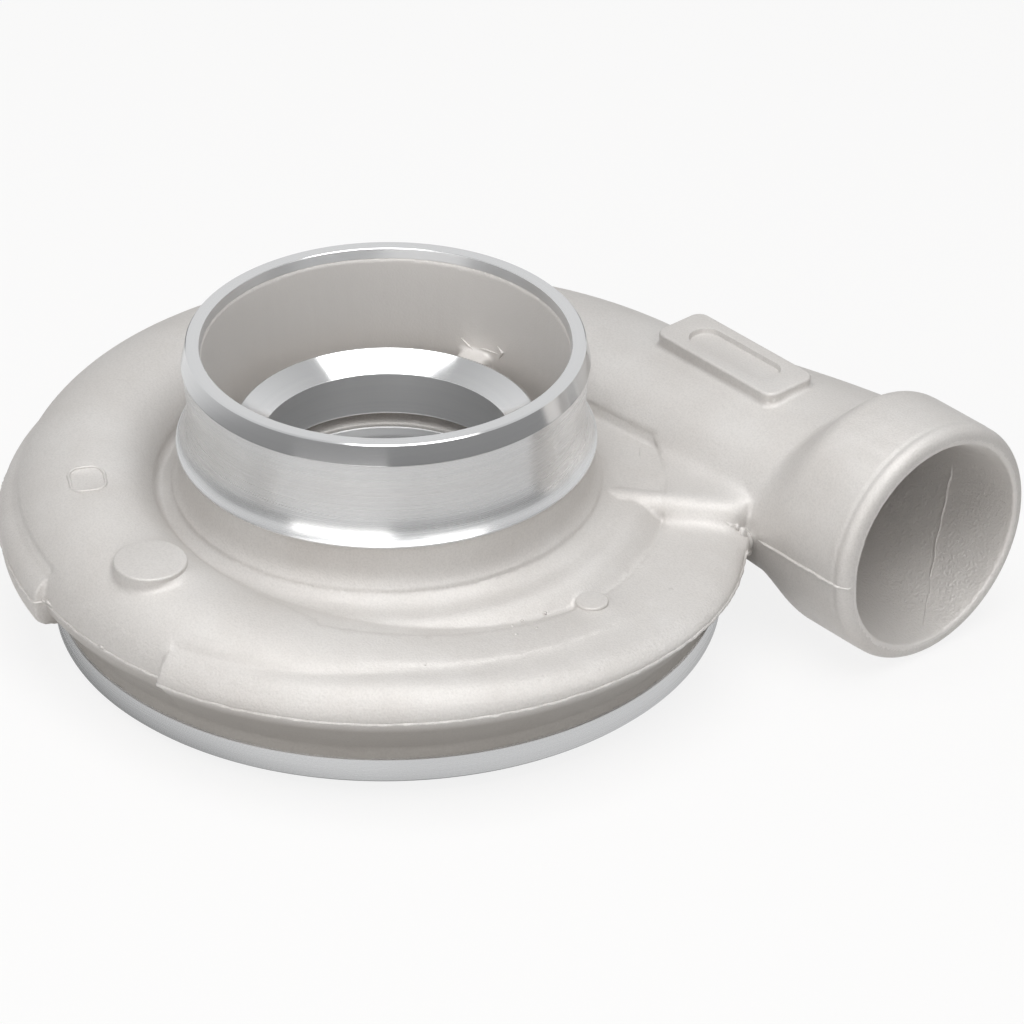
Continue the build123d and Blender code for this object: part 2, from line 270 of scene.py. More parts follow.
# Grain of the two finishes: scales of the noise, then the strength and depth in metres of each bump
CLOUD_SCALE = 28.0
PATCH_SCALE = 60.0
GRAIN_SCALE = 1500.0
SOFT_SCALE = 150.0
SAND_SCALE = 1000.0
MARK_SCALE = 5200.0
WIDE_MARK_SCALE = 900.0
GRAIN_BUMP = (0.35, 0.0003)
SOFT_BUMP = (0.18, 0.0006)
SAND_BUMP = (0.6, 0.0006)
MARK_BUMP = (0.018, 0.00004)

# Floor: tone, share seen as plain white, gap in millimetres, half side in metres, and levels in
# reflections, which paint a shadow under the part and a fall-off of light further out
FLOOR_TONE = (0.77, 0.758, 0.747, 1)
FLOOR_WHITE = 0.84
FLOOR_GAP = 0.3
FLOOR_HALF_SIDE = 6.0
FLOOR_PAINTED_SHADOW = (0.108, 0.122, 0.25, 0.85)
FLOOR_PAINTED_FALLOFF = (0.28, 0.42, 1.0, 0.36)

# Room: its plain level, and in reflections the ceiling's levels and the dark low part on the camera's side
ROOM_LEVEL = 0.26
CEILING = (0.5, 0.85, 0.88, 0.6)
VIEW_SIDE = (0.752, -0.658, 0.0)
DARK_FRONT = (-0.45, 0.05)
DARK_HEIGHT = (0.12, 0.34)
DARK_SHARE = 0.72

# Lamps: turn from the camera's side in degrees, size, distance and height in metres, watts and colour
SOFTBOXES = (
    ("softbox_left", -23.0, (1.4, 0.9), 1.4, 0.6, 7.0, (1.0, 0.98, 0.96)),
    ("softbox_right", 42.0, (0.9, 0.9), 1.2, 1.4, 3.2, (1.0, 0.97, 0.94)),
)
SOFTBOX_TARGET = (0, 0, 0.04)
OVERHEAD_PLACE = (0.25, -0.1, 1.5)
OVERHEAD_TARGET = (0, 0, 0.03)
OVERHEAD_SIZE = (1.3, 1.3)
OVERHEAD_POWER = 18.0

# Camera, solved from the ellipses of the rim and the base
CAMERA_PLACE = (1154.06, -956.65, 976.30)
CAMERA_AZIMUTH = 48.81
CAMERA_ELEVATION = 32.25
CAMERA_ROLL = 0.21
CAMERA_LENS = 193.36
CAMERA_SENSOR = 36.0
CAMERA_FAR = 20.0


def ease(value):
    """Smooth step from 0 to 1."""
    value = np.clip(value, 0.0, 1.0)
    return value * value * (3.0 - 2.0 * value)


def rise(value, start, width):
    """0 up to the start, then up to 1 over the width."""
    return ease((value - start) / width)


def fall(value, end, width):
    """1, then down to 0 at the end over the width before it."""
    return ease((end - value) / width)


def between(value, low, high):
    return (value > low) & (value < high)


def crown_growth(degrees):
    """How much higher the scroll's crest is at an angle than at its low end, in millimetres."""
    return CROWN_GROWTH * ease((CROWN_START - degrees) / CROWN_TURN)


def crest_level(degrees):
    """Height of the scroll's crest above the base at an angle about the wheel axis."""
    return PARTING + CROWN_LOW + float(crown_growth(degrees))


def new_object(name, mesh):
    piece = bpy.data.objects.new(name, mesh)
    bpy.context.scene.collection.objects.link(piece)
    return piece


def finished(build, name):
    """New object from a bmesh, which is freed."""
    mesh = bpy.data.meshes.new(name)
    build.to_mesh(mesh)
    build.free()
    return new_object(name, mesh)


def points_of(mesh):
    points = np.zeros(len(mesh.vertices) * 3, np.float32)
    mesh.vertices.foreach_get("co", points)
    return points.reshape(-1, 3).astype(float)


def set_points(mesh, points):
    mesh.vertices.foreach_set("co", points.astype(np.float32).ravel())
    mesh.update()


def normals_of(mesh):
    normals = np.zeros(len(mesh.vertices) * 3, np.float32)
    mesh.vertices.foreach_get("normal", normals)
    return normals.reshape(-1, 3).astype(float)


def edges_of(mesh):
    edges = np.zeros(len(mesh.edges) * 2, np.int32)
    mesh.edges.foreach_get("vertices", edges)
    return edges.reshape(-1, 2)


def smooth_shaded(mesh):
    mesh.polygons.foreach_set("use_smooth", np.ones(len(mesh.polygons), bool))
    mesh.update()


def sharp_shaded(mesh, degrees):
    """Smooth faces, with an edge left sharp where they meet at more than the angle."""
    mesh.polygons.foreach_set("use_smooth", np.ones(len(mesh.polygons), bool))
    mesh.set_sharp_from_angle(angle=math.radians(degrees))


def apply_modifier(piece):
    graph = bpy.context.evaluated_depsgraph_get()
    made = bpy.data.meshes.new_from_object(piece.evaluated_get(graph))
    piece.modifiers.clear()
    piece.data = made


def land_roll(build):
    """Round front of the tongue land, from the collar's foot to the crotch under the pipe."""
    start = Vector(LAND_ROLL_START)
    end = Vector(LAND_ROLL_END)
    radius = LAND_ROLL_RADIUS * MM
    turn = Vector((0, 0, 1)).rotation_difference(end - start).to_matrix().to_4x4()
    middle = Matrix.Translation((start + end) / 2 * MM) @ turn
    depth = (end - start).length * MM
    bmesh.ops.create_cone(build, cap_ends=True, segments=32, radius1=radius, radius2=radius,
                          depth=depth, matrix=middle)
    for place in (start, end):
        there = Matrix.Translation(place * MM)
        bmesh.ops.create_icosphere(build, subdivisions=3, radius=radius, matrix=there)


def remeshed_skin():
    """The casting's solid as one closed mesh of even quads."""
    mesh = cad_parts[NODE].data.copy()
    mesh.materials.clear()
    build = bmesh.new()
    build.from_mesh(mesh)
    bmesh.ops.remove_doubles(build, verts=build.verts, dist=MERGE_DISTANCE)
    land_roll(build)
    build.to_mesh(mesh)
    build.free()
    piece = new_object("cast_skin", mesh)
    remesh = piece.modifiers.new("Remesh", "REMESH")
    remesh.mode = "VOXEL"
    remesh.voxel_size = VOXEL * MM
    apply_modifier(piece)
    return piece


def turned_mask(points):
    """1 on the turned faces of the casting, 0 on its cast skin."""
    x, y, z = (points / MM).T
    radius = np.hypot(x, y)
    spigot = (z > FLARE_HEIGHT - 0.4) & between(radius, *SPIGOT_WALL)
    lead_in = (z > LEAD_IN_BOTTOM - 0.2) & (radius < SPIGOT_WALL[1])
    ring = (z > RING_BOTTOM - 7.0) & (radius < RING_CONE_TOP + 0.6)
    flange = (z < FLANGE_HEIGHT + 0.1) & between(radius, *FLANGE_RADII)
    shroud = (z < SHROUD_TOP) & (radius < SHROUD_REACH)
    return (spigot | lead_in | ring | flange | shroud).astype(float)


def smooth(points, edges, share, rounds):
    """Moves each point towards the mean of its neighbours by its share, as many times as rounds says."""
    moved = share > 1e-3
    near = edges[moved[edges].any(axis=1)]
    kept, local = np.unique(near, return_inverse=True)
    local = local.reshape(-1, 2)
    part = points[kept]
    weight = np.where(moved, share, 0.0)[kept][:, None]
    count = np.bincount(local.ravel(), minlength=len(kept)).astype(float)[:, None]
    for _ in range(rounds):
        total = np.zeros_like(part)
        for axis in range(3):
            total[:, axis] += np.bincount(local[:, 0], part[local[:, 1], axis], len(kept))
            total[:, axis] += np.bincount(local[:, 1], part[local[:, 0], axis], len(kept))
        part += weight * (total / count - part)
    points[kept] = part
    return points


def rounded_zones(x, y, z, radius, angle):
    """1 where the skin gets the most rounding: the valley, the tongue, its land and the deck's corner."""
    outside = between(z, *OUTSIDE_HEIGHTS) & (radius > OUTSIDE_RADIUS)
    valley = rise(radius, *VALLEY_START) * fall(radius, *VALLEY_END) * outside
    tongue = rise(angle, *TONGUE_START) * fall(angle, *TONGUE_END) * fall(radius, *TONGUE_RADIUS) * outside
    land = rise(angle, *LAND_START) * fall(angle, *LAND_END) * fall(radius, *LAND_RADIUS) * outside
    away = np.linalg.norm(np.c_[x - CORNER[0], y - CORNER[1], z - CORNER[2]], axis=1)
    corner = fall(away, *CORNER_FADE)
    return np.clip(VALLEY_SHARE * valley + tongue + land + corner, 0.0, 1.0)


def band_crease(y, z, radius, angle):
    """1 along the crease where the flat band meets the crown."""
    crown = CROWN_LOW + crown_growth(angle)
    level = np.minimum(CREASE_HEIGHT, CREASE_SHARE * crown)
    near = np.exp(-((z - PARTING - level) / CREASE_WIDTH) ** 2)
    crease = near * (radius > CREASE_RADIUS) * (y < CREASE_Y)
    crease *= fall(angle, *CREASE_END) * (between(angle, *CREASE_FRONT) | between(angle, *CREASE_LEFT))
    return crease


def lip_groove(x, y, z):
    """Depth of the groove round the collar behind its lip."""
    round_pipe = np.hypot(y - PIPE_Y, z - PARTING)
    near = np.exp(-((x - GROOVE_X) / GROOVE_WIDTH) ** 2)
    return near * (round_pipe > GROOVE_RADIUS) * (x > GROOVE_FROM_X) * GROOVE_DEPTH


def soften(mesh):
    """Gives the skin a casting's round corners, and sinks its turned faces under the turned pieces."""
    points = points_of(mesh)
    edges = edges_of(mesh)
    turned = turned_mask(points)
    x, y, z = (points / MM).T
    radius = np.hypot(x, y)
    angle = np.degrees(np.arctan2(y, x))
    from_pad_x = abs(x - PAD_CENTRE[0])
    from_pad_y = abs(y - PAD_CENTRE[1])
    marks = (from_pad_x < PAD_CLEAR[0]) & (from_pad_y < PAD_CLEAR[1]) & (z > PAD_CLEAR[2])
    band = (radius > BAND_RADIUS) & between(z, *BAND_HEIGHTS) & (angle < BAND_ANGLE)
    share = 0.5 * (1.0 - turned)
    points = smooth(points, edges, share, ROUNDS_ALL)
    share = share * (1.0 - marks)
    points = smooth(points, edges, share * np.where(band, BAND_SHARE, 1.0), ROUNDS_CAST)
    points = smooth(points, edges, share * rounded_zones(x, y, z, radius, angle), ROUNDS_ZONES)
    under_pad = (from_pad_x < PAD_INNER[0]) & (from_pad_y < PAD_INNER[1]) & (z > PAD_INNER[2])
    points[under_pad, 2] = np.minimum(points[under_pad, 2], SKIN_UNDER_PAD * MM)
    set_points(mesh, points)
    sunk = lip_groove(x, y, z) + CREASE_DEPTH * band_crease(y, z, radius, angle)
    points -= normals_of(mesh) * (sunk * MM)[:, None]
    set_points(mesh, points)
    waist = between(z, FLARE_HEIGHT + 2.0, BEAD_TOP + 2.0) & between(radius, *WAIST_RADII)
    points -= normals_of(mesh) * ((TURNED_INSET * turned + WAIST_INSET * waist) * MM)[:, None]
    set_points(mesh, points)


def thinned(piece, faces):
    """Fewer triangles where the skin is even, so that the piece stays light."""
    now = sum(len(p.vertices) - 2 for p in piece.data.polygons)
    if now > faces:
        modifier = piece.modifiers.new("Decimate", "DECIMATE")
        modifier.ratio = faces / now
        apply_modifier(piece)


def tree_of(mesh):
    corners = [v.co.copy() for v in mesh.vertices]
    faces = [tuple(p.vertices) for p in mesh.polygons]
    return BVHTree.FromPolygons(corners, faces)


def on_skin(tree, point):
    """Nearest place on the cast skin to a point in millimetres, with the skin's normal there."""
    place, normal, _, _ = tree.find_nearest(Vector(point) * MM)
    return place, normal


def parting_paths(tree):
    """Where the mould halves met: round the scroll, and along the pipe's far side and its near side."""
    def hit(start, aim):
        return tree.ray_cast(Vector(start) * MM, Vector(aim))[:2]

    scroll = []
    for step in range(SCROLL_RAYS):
        degrees = SCROLL_FROM - step * SCROLL_STEP
        a = math.radians(degrees)
        reach = REACH_BY_PIPE if degrees > TONGUE_SIDE else REACH_ELSEWHERE
        aim = (-math.cos(a), -math.sin(a), 0.0)
        scroll.append(hit((reach * math.cos(a), reach * math.sin(a), PARTING), aim))
    far = [hit((x, FAR_Y, PARTING), (0.0, -1.0, 0.0)) for x in np.arange(*FAR_SIDE)]
    near = [hit((x, NEAR_Y, PARTING), (0.0, 1.0, 0.0)) for x in np.arange(*NEAR_SIDE)]
    return [[h for h in run if h[0] is not None] for run in (scroll, far, near)]


def surface_path(tree, marks, spacing=0.5):
    """Stations on the skin along straight runs between the given places, in millimetres."""
    stations = []
    for start, end in zip(marks, marks[1:]):
        start, end = Vector(start), Vector(end)
        count = max(int((end - start).length / spacing), 1)
        for i in range(count):
            stations.append(on_skin(tree, start.lerp(end, i / count)))
    stations.append(on_skin(tree, marks[-1]))
    return stations


def recess_path(tree):
    """Stations round the rim of the shallow cast recess on the scroll's crest."""
    spin = Matrix.Rotation(math.radians(RECESS_ANGLE), 4, "Z")
    place = spin @ Matrix.Translation((RECESS_RING, 0.0, 55.0))
    loop = rounded_outline(*RECESS_SIZE, 90)
    return [on_skin(tree, place @ Vector((u, v, 0.0))) for u, v in [*loop, *loop[:8]]]


def ridge(build, stations, width, height, seed, rough=0.6, sway=0.25):
    """A thin uneven fin of metal along the stations, as a closed bar with faded ends."""
    count = len(stations)
    rows = []
    for i, (place, normal) in enumerate(stations):
        before = stations[max(i - 2, 0)][0]
        after = stations[min(i + 2, count - 1)][0]
        along = after - before
        if along.length < 1e-9:
            continue
        side = normal.cross(along.normalized())
        if side.length < 1e-6:
            continue
        side.normalize()
        long_waves = noise.noise(Vector((i * 0.11, seed, 0.0)))
        short_waves = noise.noise(Vector((i * 0.47, seed, 3.0)))
        uneven = long_waves + 0.5 * short_waves
        drift = noise.noise(Vector((i * 0.07, seed, 9.0))) * sway
        fade = min(1.0, i / FLASH_FADE, (count - 1 - i) / FLASH_FADE)
        lift = max(height * (1.0 + rough * uneven), 0.12 * height) * fade
        half = 0.5 * width * (0.75 + 0.25 * fade)
        corners = []
        section = ((-half, FLASH_ROOT), (-half * 0.3, lift * 0.85), (half * 0.3, lift), (half, FLASH_ROOT))
        for across, up in section:
            corners.append(build.verts.new(place + side * (across + drift) * MM + normal * up * MM))
        rows.append(corners)
    skin_over(build, rows)


def skin_over(build, rows):
    """Faces between neighbouring rows of points, and one over each end."""
    for first, second in zip(rows, rows[1:]):
        for j in range(len(first)):
            k = (j + 1) % len(first)
            build.faces.new((first[j], first[k], second[k], second[j]))
    build.faces.new(rows[0][::-1])
    build.faces.new(rows[-1])


def lump(build, tree, place, size, seed):
    """A small uneven bead of metal, left where a gate or a chip was broken off."""
    centre, _ = on_skin(tree, place)
    made = bmesh.ops.create_icosphere(build, subdivisions=2, radius=1.0)["verts"]
    for vert in made:
        wobble = 1.0 + 0.45 * noise.noise(vert.co * 1.3 + Vector((seed, seed, 0.0)))
        stretched = Vector((vert.co.x * size[0], vert.co.y * size[1], vert.co.z * size[2]))
        vert.co = centre + stretched * wobble * MM


def mould_flash(skin):
    """Everything the mould left on the casting: parting flash, core seams, gate ends and small chips."""
    tree = tree_of(skin)
    build = bmesh.new()
    for seed, (run, (width, height)) in enumerate(zip(parting_paths(tree), PARTING_FLASH)):
        ridge(build, run, width, height, seed * 5.0)
    for seed, (places, width, height) in enumerate(FLASH_RUNS):
        ridge(build, surface_path(tree, places), width, height, 20.0 + seed * 3.0, rough=0.9, sway=0.5)
    ridge(build, recess_path(tree), *RECESS_RIM, seed=90.0, rough=0.25, sway=0.1)
    for seed, (place, size) in enumerate(LUMPS):
        lump(build, tree, place, size, seed * 1.7)
    low, high = [Vector(corner) for corner in cad_box]
    for vert in build.verts:
        vert.co = [min(max(value, a), b) for value, a, b in zip(vert.co, low, high)]
    bmesh.ops.recalc_face_normals(build, faces=build.faces)
    return finished(build, "mould_flash")


def turned_ring(name, outline):
    """Closed solid of revolution about the wheel axis; outline holds radius and height in millimetres."""
    build = bmesh.new()
    count = len(outline)
    rings = []
    for i in range(TURN_SEGMENTS):
        angle = 2.0 * math.pi * i / TURN_SEGMENTS
        c, s = math.cos(angle), math.sin(angle)
        rings.append([build.verts.new((r * c * MM, r * s * MM, z * MM)) for r, z in outline])
    for i in range(TURN_SEGMENTS):
        here, there = rings[i], rings[(i + 1) % TURN_SEGMENTS]
        for j in range(count):
            k = (j + 1) % count
            build.faces.new((here[j], there[j], there[k], here[k]))
    bmesh.ops.recalc_face_normals(build, faces=build.faces)
    return finished(build, name)


def spigot(tree):
    """Turned rim, bead, neck and flare of the hose inlet, with the lead-in of the bore."""
    neck = []
    for height in np.r_[np.linspace(BEAD_TOP - 0.5, 64.0, 26), np.linspace(63.5, FLARE_HEIGHT + 0.65, 12)]:
        far = tree.ray_cast(Vector((100.0, 0.0, height)) * MM, Vector((-1.0, 0.0, 0.0)))[0]
        neck.append((far.x / MM, float(height)))
    outline = [
        (RIM_BORE, INLET_TOP - RIM_INNER_EDGE),
        (RIM_BORE + RIM_INNER_EDGE, INLET_TOP),
        (RIM_RADIUS - RIM_EDGE, INLET_TOP),
        (RIM_RADIUS, INLET_TOP - RIM_EDGE),
        (BEAD_RADIUS - 0.1, BEAD_TOP + 0.3),
        (BEAD_RADIUS, BEAD_TOP),
        *neck,
        (FLARE_RADIUS, FLARE_HEIGHT + 0.5),
        (FLARE_RADIUS, FLARE_HEIGHT + 0.15),
        (FLARE_RADIUS - 0.2, FLARE_HEIGHT),
        (COLLAR_RADIUS - 1.5, FLARE_HEIGHT - 0.3),
        (SPIGOT_CORE, 62.0),
        (SPIGOT_CORE, LEAD_IN_BOTTOM - 1.0),
        (CAST_BORE + 0.2, LEAD_IN_BOTTOM - 0.2),
        (CAST_BORE, LEAD_IN_BOTTOM),
    ]
    return turned_ring("inlet_spigot", outline)


def inducer_ring():
    """Turned land, cone and bore of the inducer ring."""
    outline = [
        (RING_CONE_TOP, RING_HEIGHT),
        (RING_CONE_TOP + 0.55, RING_HEIGHT - 0.05),
        (RING_CONE_TOP + 0.55, RING_HEIGHT - 2.0),
        (INDUCER_RADIUS + RING_THICKNESS, RING_CONE_BOTTOM - 4.0),
        (INDUCER_RADIUS + RING_THICKNESS, RING_BOTTOM - 1.0),
        (INDUCER_RADIUS, RING_BOTTOM - 2.0),
        (INDUCER_RADIUS, RING_CONE_BOTTOM - 0.2),
        (INDUCER_RADIUS + 0.2, RING_CONE_BOTTOM),
    ]
    return turned_ring("inducer_ring", outline)


def flange():
    """Turned band, base face and register of the back plate flange."""
    outline = [
        (FLANGE_RADIUS - FLANGE_STEP - 1.0, FLANGE_HEIGHT - 0.15),
        (FLANGE_RADIUS - FLANGE_STEP, FLANGE_HEIGHT),
        (FLANGE_RADIUS, FLANGE_HEIGHT - FLANGE_STEP / 2),
        (FLANGE_RADIUS, FLANGE_CHAMFER),
        (FLANGE_RADIUS - FLANGE_CHAMFER, 0.0),
        (REGISTER_RADIUS + 0.25, 0.0),
        (REGISTER_RADIUS, 0.25),
        (REGISTER_RADIUS, REGISTER_DEPTH),
        (97.05, REGISTER_DEPTH),
        (98.5, REGISTER_DEPTH + 1.5),
        (102.0, REGISTER_DEPTH + 1.5),
    ]
    return turned_ring("base_flange", outline)


def shroud(tree):
    """Turned shroud under the inducer ring, and the diffuser face that it runs into."""
    curve = []
    for height in np.linspace(*SHROUD_HEIGHTS, 18):
        reach = tree.ray_cast(Vector((0.0, 0.0, height)) * MM, Vector((0.94, 0.342, 0.0)))[3]
        curve.append((reach / MM, float(height)))
    curve += [(60.9, DIFFUSER_FACE), (87.9, DIFFUSER_FACE), (89.9, DIFFUSER_FACE + 2.0)]
    back = [(89.0, 16.9), (87.3, 15.2), (62.5, 15.2)]
    back += [(r + 1.3, z + 0.6) for r, z in curve[16::-1]]
    return turned_ring("shroud", curve + back)


def rounded_outline(length, width, corner, count=128):
    """Points round a rectangle with round corners, all at the same spacing."""
    corners = []
    for cx, cy, start in ((1, 1, 0), (-1, 1, 90), (-1, -1, 180), (1, -1, 270)):
        for i in range(17):
            a = math.radians(start + i * 90 / 16)
            corners.append((cx * (length / 2 - corner) + corner * math.cos(a),
                            cy * (width / 2 - corner) + corner * math.sin(a)))
    corners = np.array(corners + corners[:1])
    steps = np.r_[0.0, np.cumsum(np.hypot(*np.diff(corners, axis=0).T))]
    at = np.linspace(0.0, steps[-1], count, endpoint=False)
    return np.c_[np.interp(at, steps, corners[:, 0]), np.interp(at, steps, corners[:, 1])]


def stacked(build, loops, place):
    """Skin through loops of equal counts, closed at the first and the last."""
    rows = [[build.verts.new(place @ Vector((x, y, z)) * MM) for x, y in loop] for loop, z in loops]
    skin_over(build, rows)


def step_loops(size, low, high, edge):
    """Loops of a wall from low to high that ends in a rounded edge."""
    length, width, corner = size
    loops = [(rounded_outline(length, width, corner), low)]
    for i in range(6):
        a = math.radians(i * 18)
        inset = edge * (1 - math.cos(a))
        loop = rounded_outline(length - 2 * inset, width - 2 * inset, max(corner - inset, 0.4))
        loops.append((loop, high - edge + edge * math.sin(a)))
    return loops


def raised_marks():
    """The nameplate pad with its bare pocket, the boss and the button, with their true edges."""
    build = bmesh.new()
    loops = step_loops(PAD_SIZE, PAD_FOOT, PAD_TOP, PAD_EDGE)
    length, width, corner = POCKET_SIZE
    for inset, height in POCKET_WALL:
        loops.append((rounded_outline(length - 2 * inset, width - 2 * inset, corner - inset), height))
    stacked(build, loops, Matrix.Translation((*PAD_CENTRE, 0.0)))
    for radius, ring, degrees, proud in BOSSES:
        a = math.radians(degrees)
        top = crest_level(degrees) + proud + 0.05
        place = Matrix.Translation((ring * math.cos(a), ring * math.sin(a), 0.0))
        size = (2 * radius, 2 * radius, radius - 0.01)
        stacked(build, step_loops(size, top - 5.0, top, BOSS_EDGE), place)
    bmesh.ops.recalc_face_normals(build, faces=build.faces)
    return finished(build, "raised_marks")


class Tree:
    """Short calls for the nodes of a material or of the world, which start from none."""

    def __init__(self, owner):
        owner.use_nodes = True
        self.tree = owner.node_tree
        self.tree.nodes.clear()

    def node(self, kind, **values):
        found = self.tree.nodes.new(kind)
        for key, value in values.items():
            setattr(found, key, value)
        return found

    def link(self, source, target):
        self.tree.links.new(source, target)

    def noise(self, vector, scale, detail=4.0, roughness=0.55):
        found = self.node("ShaderNodeTexNoise")
        found.inputs["Scale"].default_value = scale
        found.inputs["Detail"].default_value = detail
        found.inputs["Roughness"].default_value = roughness
        self.link(vector, found.inputs["Vector"])
        return found.outputs["Fac"]

    def ramp(self, value, low, high, colour_low, colour_high):
        found = self.node("ShaderNodeValToRGB")
        ends = found.color_ramp.elements
        for element, position, colour in zip(ends, (low, high), (colour_low, colour_high)):
            element.position = position
            element.color = colour
        self.link(value, found.inputs["Fac"])
        return found.outputs["Color"]

    def mix(self, share, first, second, blend="MIX"):
        """First colour blended with the second, by a share that is a number or a socket."""
        found = self.node("ShaderNodeMix", data_type="RGBA", blend_type=blend)
        for name, value in (("Factor", share), ("A", first), ("B", second)):
            if isinstance(value, (float, tuple)):
                found.inputs[name].default_value = value
            else:
                self.link(value, found.inputs[name])
        return found.outputs["Result"]

    def bump(self, height, strength, distance, below=None):
        found = self.node("ShaderNodeBump")
        found.inputs["Strength"].default_value = strength
        found.inputs["Distance"].default_value = distance
        self.link(height, found.inputs["Height"])
        if below:
            self.link(below, found.inputs["Normal"])
        return found.outputs["Normal"]

    def math(self, kind, first, second):
        found = self.node("ShaderNodeMath", operation=kind)
        for socket, value in zip(found.inputs, (first, second)):
            if isinstance(value, (int, float)):
                socket.default_value = value
            else:
                self.link(value, socket)
        return found.outputs["Value"]

    def times(self, *factors):
        """Product of two or more sockets or numbers."""
        product = factors[-1]
        for factor in factors[-2::-1]:
            product = self.math("MULTIPLY", factor, product)
        return product

    def above(self, value, level):
        return self.math("GREATER_THAN", value, level)

    def below(self, value, level):
        return self.math("LESS_THAN", value, level)

    def fade(self, value, start, end, low=0.0, high=1.0):
        found = self.node("ShaderNodeMapRange")
        for name, number in (("From Min", start), ("From Max", end), ("To Min", low), ("To Max", high)):
            found.inputs[name].default_value = number
        self.link(value, found.inputs["Value"])
        return found.outputs["Result"]

    def vector(self, kind, first, second):
        """Vector maths on a socket and a socket or a tuple of numbers."""
        found = self.node("ShaderNodeVectorMath", operation=kind)
        self.link(first, found.inputs[0])
        if isinstance(second, tuple):
            found.inputs[1].default_value = second
        else:
            self.link(second, found.inputs[1])
        return found.outputs["Value" if kind == "DOT_PRODUCT" else "Vector"]

    def parts(self, vector):
        """The x, y and z of a vector."""
        found = self.node("ShaderNodeSeparateXYZ")
        self.link(vector, found.inputs["Vector"])
        return found.outputs["X"], found.outputs["Y"], found.outputs["Z"]

    def length(self, first, second):
        """Length of a pair of legs, such as the distance from an axis."""
        squares = self.math("ADD", self.times(first, first), self.times(second, second))
        return self.math("SQRT", squares, 0.0)


def principled(tree, metallic, roughness):
    shader = tree.node("ShaderNodeBsdfPrincipled")
    shader.inputs["Metallic"].default_value = metallic
    shader.inputs["Roughness"].default_value = roughness
    output = tree.node("ShaderNodeOutputMaterial")
    tree.link(shader.outputs["BSDF"], output.inputs["Surface"])
    return shader


def cast_material():
    """Sand-cast and shot-blasted aluminium: pale, matt, with fine grain and soft clouds, painted lighter
    inside the bores as painted light and darker on the undercut wall as painted shade.
    """
    made = bpy.data.materials.new("cast_aluminium_skin")
    t = Tree(made)
    surface = t.node("ShaderNodeNewGeometry")
    place = surface.outputs["Position"]
    x, y, z = t.parts(place)
    shader = principled(t, CAST_METALLIC, 0.5)
    colour = t.ramp(t.noise(place, CLOUD_SCALE, 3.0), 0.3, 0.7, CAST_DARK, CAST_LIGHT)
    grain = t.noise(place, GRAIN_SCALE, 3.0, 0.6)
    speckled = t.mix(GRAIN_SHARE, colour, t.ramp(grain, 0.25, 0.6, CAST_GRAIN, WHITE), "MULTIPLY")
    smooth_grey, rough_grey = [(value, value, value, 1) for value in CAST_ROUGHNESS]
    patches = t.noise(place, PATCH_SCALE, 3.0)
    t.link(t.ramp(patches, 0.3, 0.7, smooth_grey, rough_grey), shader.inputs["Roughness"])

    # Inside of the outlet pipe, told from its outside by the way it faces
    from_axis = t.vector("SUBTRACT", place, (0.0, PIPE_Y * MM, PARTING * MM))
    flat = t.vector("MULTIPLY", from_axis, (0.0, 1.0, 1.0))
    inward = t.below(t.vector("DOT_PRODUCT", flat, surface.outputs["True Normal"]), 0.0)
    across = t.length(t.math("SUBTRACT", y, PIPE_Y * MM), t.math("SUBTRACT", z, PARTING * MM))
    bore = t.times(inward, t.times(t.below(across, OUTLET_BORE_REACH), t.above(x, 0.0)))

    # Inside of the inlet, undercut wall above the flange, and the flat band round the front
    reach = t.length(x, y)
    inlet = t.times(t.below(reach, INLET_BORE_REACH), t.above(z, INLET_BORE_FOOT))
    painted_undercut_shade = t.times(t.fade(z, *UNDERCUT_TOP, 1.0, 0.0), t.fade(reach, *UNDERCUT_RIM, 1.0, 0.0))
    band = t.times(t.above(reach, BAND_REACH), t.above(z, BAND_FOOT), t.below(y, BAND_END_Y))

    # Inside of the outlet pipe and of the inlet painted lighter: painted light that stands for light
    # reflected into the bores
    painted_bore_light = t.mix(t.math("ADD", t.times(bore, BORE_PAINTED_LIGHT_SHARE), inlet), speckled, PAINTED_BORE_LIGHT)
    # Undercut wall above the flange painted darker: painted shade under the scroll's overhang
    t.link(t.mix(painted_undercut_shade, painted_bore_light, PAINTED_UNDERCUT_SHADE, "MULTIPLY"), shader.inputs["Base Color"])
    sandy = t.math("ADD", bore, t.times(band, BAND_SAND))
    soft = t.bump(t.noise(place, SOFT_SCALE, 2.0), *SOFT_BUMP)
    coarse = t.bump(t.times(t.noise(place, SAND_SCALE, 2.0, 0.6), sandy), *SAND_BUMP, soft)
    t.link(t.bump(grain, *GRAIN_BUMP, coarse), shader.inputs["Normal"])
    return made


